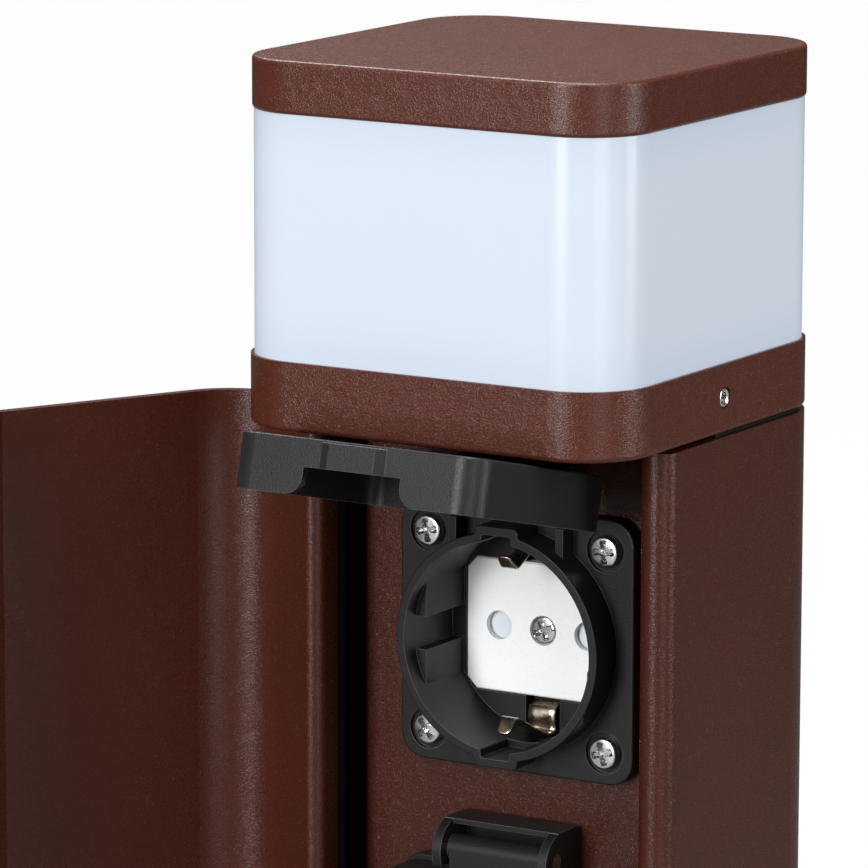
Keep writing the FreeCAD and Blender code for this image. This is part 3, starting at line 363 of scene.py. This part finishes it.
black_plastic = moulded("black_grained_plastic", (0.0080, 0.0080, 0.0083), (0.0125, 0.0125, 0.0128),
                        roughness=0.36, fineness=3200.0, depth=0.00004, specular=0.19, edge=0.2 * mm)
dress(moulded("white_case", (0.72, 0.72, 0.70), (0.80, 0.80, 0.78), 0.5), "driver")
dress(moulded("grey_terminal", (0.42, 0.42, 0.42), (0.50, 0.50, 0.49), 0.45), "terminal_block")
dress(black_plastic, "cable_gland")

# Each socket is a black glass-filled moulding: flange, raised ring and cup in one, with a screwed
# rear cover behind and a flap lid in front that turns on a steel pin.
for side in ("upper", "lower"):
    dress(black_plastic, side + "_housing", side + "_rear_cover", side + "_lid")

# The contact insert is a glossy white moulding, with a turning guard plate of pale
# blue-grey plastic close behind its two holes.
white_insert = moulded("white_contact_insert", (0.72, 0.725, 0.73), (0.74, 0.745, 0.75),
                       roughness=0.3, fineness=3000.0, depth=0.000002, specular=0.5)
guard_plastic = moulded("guard_plastic", (0.53, 0.58, 0.61), (0.56, 0.61, 0.64),
                        roughness=0.35, fineness=3000.0, depth=0.000002, specular=0.5)
brass = metal("contact_brass", (0.78, 0.58, 0.27), 0.28)
for side in ("upper", "lower"):
    dress(white_insert, side + "_insert")
    dress(guard_plastic, side + "_shutter")
    dress(brass, side + "_contacts")


# Pan head screws of bright zinc hold each flange at its corners and the insert in the middle:
# domed heads with a cross recess, pressed from wire.
def grow_rim(bm, edges, radii, rises):
    """Draws an open round rim on, ring by ring, each with its own radius and height."""
    for radius, height in zip(radii, rises):
        made = bmesh.ops.extrude_edge_only(bm, edges=edges)["geom"]
        edges = [g for g in made if isinstance(g, bmesh.types.BMEdge)]
        for v in {v for e in edges for v in e.verts}:
            flat = Vector((v.co.x, v.co.y, 0)).normalized() * radius
            v.co = flat + Vector((0, 0, height))
    return edges


def pan_head(bm, head_r, head_t, shank_r, length, cross, slot, deep):
    """One screw along Z, its head's seat at 0; gives its vertices."""
    before = set(bm.verts)
    bmesh.ops.create_grid(bm, x_segments=24, y_segments=24, size=1)
    top = [v for v in bm.verts if v not in before]
    for v in top:
        x, y = v.co.x, v.co.y
        v.co.x, v.co.y = x * math.sqrt(1 - y * y / 2), y * math.sqrt(1 - x * x / 2)
        r = math.hypot(v.co.x, v.co.y)
        v.co = Vector((v.co.x * head_r * 0.82, v.co.y * head_r * 0.82, head_t * (1 - 0.07 * r * r)))
    recess = []
    for f in {f for v in top for f in v.link_faces}:
        x, y = sorted((abs(f.calc_center_median().x), abs(f.calc_center_median().y)))
        if y < cross / 2 and x < slot / 2:
            recess.append(f)
    recess.sort(key=lambda f: f.index)
    for thick, depth in ((0.03, -0.04), (0.10, -0.50), (0.07, -0.46)):
        bmesh.ops.inset_region(bm, faces=recess, thickness=slot * thick, depth=deep * depth)
    rim = list(dict.fromkeys(e for v in top for e in v.link_edges if e.is_boundary))
    radii = [head_r * k for k in (0.89, 0.95, 0.99, 1.0, 0.985)] + [shank_r, shank_r, shank_r * 0.25]
    rises = [head_t * k for k in (0.90, 0.82, 0.64, 0.10, 0.0)] + [0.0, shank_r - length, -length]
    bmesh.ops.edgeloop_fill(bm, edges=grow_rim(bm, rim, radii, rises))
    return [v for v in bm.verts if v not in before]


def smooth(piece, degrees=32):
    """Shades a piece smooth, but for creases sharper than the angle."""
    for polygon in piece.data.polygons:
        polygon.use_smooth = True
    piece.data.set_sharp_from_angle(angle=math.radians(degrees))


def centre_of(node):
    low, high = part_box(node)
    return (low + high) / 2


hazed, inlet, outlet = effect("metal_haze", [("Vector", "Vector", None)], [("Haze", "Float")])
haze = put(hazed, "ShaderNodeTexNoise", {"Vector": inlet["Vector"], "Scale": 420.0, "Detail": 1.0})
hazed.links.new(haze.outputs["Fac"], outlet.inputs["Haze"])


def polished(name, colour, dull, roughness):
    """Bright bare metal with a faint haze."""
    made, tree, shader, place = surface(name, roughness, metallic=1.0)
    bright = put(tree, "ShaderNodeGroup", {"Vector": place}, node_tree=hazed)
    tree.links.new(shade(tree, bright.outputs["Haze"], dull, colour), shader.inputs["Base Color"])
    tree.links.new(span(tree, bright.outputs["Haze"], 0.3, 0.7, roughness + 0.05, roughness - 0.05),
                   shader.inputs["Roughness"])
    return made


bright_zinc = polished("bright_zinc", (0.68, 0.68, 0.67), (0.60, 0.60, 0.60), 0.25)
flange_seat, insert_seat, screw_out = -4.7 * mm + 0.9 * mm, 6.4 * mm, 19 * mm
face_y = Matrix.Rotation(math.radians(90), 4, "X")
for side in ("upper", "lower"):
    mid = centre_of(side + "_flange_screws").z
    bm = bmesh.new()
    for sx, sz, turned in ((-1, 1, 10), (1, 1, 4), (-1, -1, 38), (1, -1, 14)):
        verts = pan_head(bm, head_r=3.0 * mm, head_t=1.9 * mm, shank_r=1.45 * mm, length=8.0 * mm,
                         cross=4.6 * mm, slot=1.3 * mm, deep=1.7 * mm)
        spot = Matrix.Translation((sx * screw_out, flange_seat, mid + sz * screw_out))
        spin = Matrix.Rotation(math.radians(turned), 4, "Z")
        bmesh.ops.transform(bm, matrix=spot @ face_y @ spin, verts=verts)
    bmesh.ops.recalc_face_normals(bm, faces=bm.faces)
    screws = stand(side + "_pan_heads", bm)
    screws.data.materials.append(bright_zinc)
    smooth(screws)
    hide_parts(side + "_flange_screws")
    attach(screws, "post")

    bm = bmesh.new()
    verts = pan_head(bm, head_r=2.65 * mm, head_t=1.2 * mm, shank_r=1.5 * mm, length=6.1 * mm,
                     cross=4.1 * mm, slot=1.2 * mm, deep=1.15 * mm)
    spot = Matrix.Translation((0, insert_seat, mid))
    spin = Matrix.Rotation(math.radians(22), 4, "Z")
    bmesh.ops.transform(bm, matrix=spot @ face_y @ spin, verts=verts)
    bmesh.ops.recalc_face_normals(bm, faces=bm.faces)
    screw = stand(side + "_insert_pan_head", bm)
    screw.data.materials.append(bright_zinc)
    smooth(screw)
    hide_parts(side + "_insert_screw")
    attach(screw, "post")

# The earth clips are springs bent from nickel-plated bronze strip: a hump that stands into the
# well, a narrow arm along its wall and a wide foot that rolls over the well's floor. Each bend
# is given in mm: how far back it lies, how far out from the socket's middle, and the width.
clip_nickel = polished("clip_nickel", (0.60, 0.51, 0.40), (0.46, 0.38, 0.29), 0.26)
strip_t, strip_edge = 0.5 * mm, 0.06 * mm
bends = [(-9.3, 16.9, 2.6), (-8.7, 16.1, 2.9), (-7.6, 14.8, 3.3), (-6.9, 14.2, 3.3), (-6.1, 14.5, 3.3),
         (-4.4, 15.4, 3.3), (-1.0, 17.2, 3.3), (1.6, 18.5, 3.3), (3.0, 19.1, 3.6), (3.6, 19.3, 5.8),
         (4.8, 19.3, 5.8), (5.35, 19.0, 5.8), (5.5, 18.3, 5.8), (5.15, 17.4, 5.8), (4.9, 16.4, 5.8),
         (5.0, 15.4, 5.8), (5.6, 14.5, 5.8), (6.6, 14.05, 5.8), (7.8, 14.0, 5.8)]
for side in ("upper", "lower"):
    mid = centre_of(side + "_earth_clips").z
    bm = bmesh.new()
    for way in (1, -1):
        y, r, w = bends[0]
        ends = [bm.verts.new((k * w / 2 * mm, y * mm, mid + way * r * mm)) for k in (-1, 1)]
        edge = bm.edges.new(ends)
        for y, r, w in bends[1:]:
            made = bmesh.ops.extrude_edge_only(bm, edges=[edge])["geom"]
            edge = next(g for g in made if isinstance(g, bmesh.types.BMEdge) and g.is_boundary
                        and not set(g.verts) & set(ends))
            ends = list(edge.verts)
            for v in ends:
                v.co = (math.copysign(w / 2 * mm, v.co.x), y * mm, mid + way * r * mm)
    clips = stand(side + "_bent_clips", bm)
    clips.data.materials.append(clip_nickel)
    bend = clips.modifiers.new("bend", "SUBSURF")
    bend.levels = bend.render_levels = 2
    sheet_metal = clips.modifiers.new("shade_strip", "SOLIDIFY")
    sheet_metal.thickness, sheet_metal.offset = strip_t, 0
    edges = clips.modifiers.new("edges", "BEVEL")
    edges.width, edges.segments, edges.limit_method = strip_edge, 1, "ANGLE"
    for polygon in clips.data.polygons:
        polygon.use_smooth = True
    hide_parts(side + "_earth_clips")
    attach(clips, "post")

# The light source is a round white board with a ring of small yellow chips on a milled
# aluminium plate, which also carries the heat away.
dress(moulded("solder_mask", (0.78, 0.78, 0.76), (0.84, 0.84, 0.82), 0.35), "led_board")
dress(moulded("phosphor", (0.85, 0.66, 0.12), (0.92, 0.74, 0.18), 0.3, 1800.0, 0.00002), "leds")
dress(metal("milled_aluminium", (0.80, 0.81, 0.82), 0.36, 900.0, 0.00002, (1, 14, 1)), "led_plate")

# The diffuser is a blow-moulded sleeve of opal plastic with a glossy skin. Its colour and glow
# are painted a shade darker and bluer towards the collar and the cap, as painted shade there.
opal, tree, shader, place = surface("opal_diffuser", 0.17, specular=0.22)
rim, fade = 1.0 * mm, 9 * mm
glass_low, glass_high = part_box("head_collar")[1].z + rim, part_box("cap")[0].z - rim
part = put(tree, "ShaderNodeSeparateXYZ", {0: place})
from_low = span(tree, part.outputs["Z"], glass_low, glass_low + fade, 0.0, 1.0)
from_high = span(tree, part.outputs["Z"], glass_high - fade, glass_high, 1.0, 0.0)
painted_shade_fade = sum_of(tree, from_low, from_high, "MULTIPLY")
tree.links.new(shade(tree, painted_shade_fade, (0.26, 0.285, 0.33), (0.275, 0.30, 0.34)), shader.inputs["Base Color"])
skin = put(tree, "ShaderNodeTexNoise", {"Vector": place, "Scale": 60.0, "Detail": 1.0})
bump(tree, shader, skin.outputs["Fac"], 0.00012, 0.35)
tree.links.new(shade(tree, painted_shade_fade, (0.74, 0.85, 1.0), (0.81, 0.88, 1.0)), shader.inputs["Emission Color"])
shader.inputs["Emission Strength"].default_value = 0.26
dress(opal, "diffuser")

# Set screws of bright steel with a rounded end ring and a hexagon socket, one in each side of
# the collar, clamp the diffuser's foot.
screw_r, socket_r, socket_deep, ring_rise = 1.85 * mm, 1.12 * mm, 1.7 * mm, 0.22 * mm
bm = bmesh.new()
bmesh.ops.create_circle(bm, segments=6, radius=socket_r)
bmesh.ops.subdivide_edges(bm, edges=bm.edges[:], cuts=3)
mouth = bm.edges[:]
deep = bmesh.ops.extrude_edge_only(bm, edges=mouth)["geom"]
bmesh.ops.translate(bm, verts=[g for g in deep if isinstance(g, bmesh.types.BMVert)],
                    vec=(0, 0, -socket_deep))
bmesh.ops.edgeloop_fill(bm, edges=[g for g in deep if isinstance(g, bmesh.types.BMEdge)])
grow_rim(bm, mouth, [k * screw_r for k in (0.70, 0.78, 0.88, 0.96, 1.0, 1.0)],
         [k * mm for k in (0.12, 0.22, 0.20, 0.08, -0.12, -2.6)])
low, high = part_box("set_screws")
place = Matrix.Translation((high.x - ring_rise, 0, (low.z + high.z) / 2))
bmesh.ops.transform(bm, matrix=place @ Matrix.Rotation(math.radians(90), 4, "Y"), verts=bm.verts)
twin = bmesh.ops.duplicate(bm, geom=bm.verts[:] + bm.edges[:] + bm.faces[:])["geom"]
bmesh.ops.rotate(bm, verts=[g for g in twin if isinstance(g, bmesh.types.BMVert)], cent=(0, 0, 0),
                 matrix=Matrix.Rotation(math.radians(180), 3, "Z"))
bmesh.ops.recalc_face_normals(bm, faces=bm.faces)
set_screws = stand("socket_set_screws", bm)
set_screws.data.materials.append(polished("bright_steel", (0.80, 0.79, 0.77), (0.66, 0.65, 0.63), 0.14))
smooth(set_screws, 40)
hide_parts("set_screws")
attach(set_screws, "post")
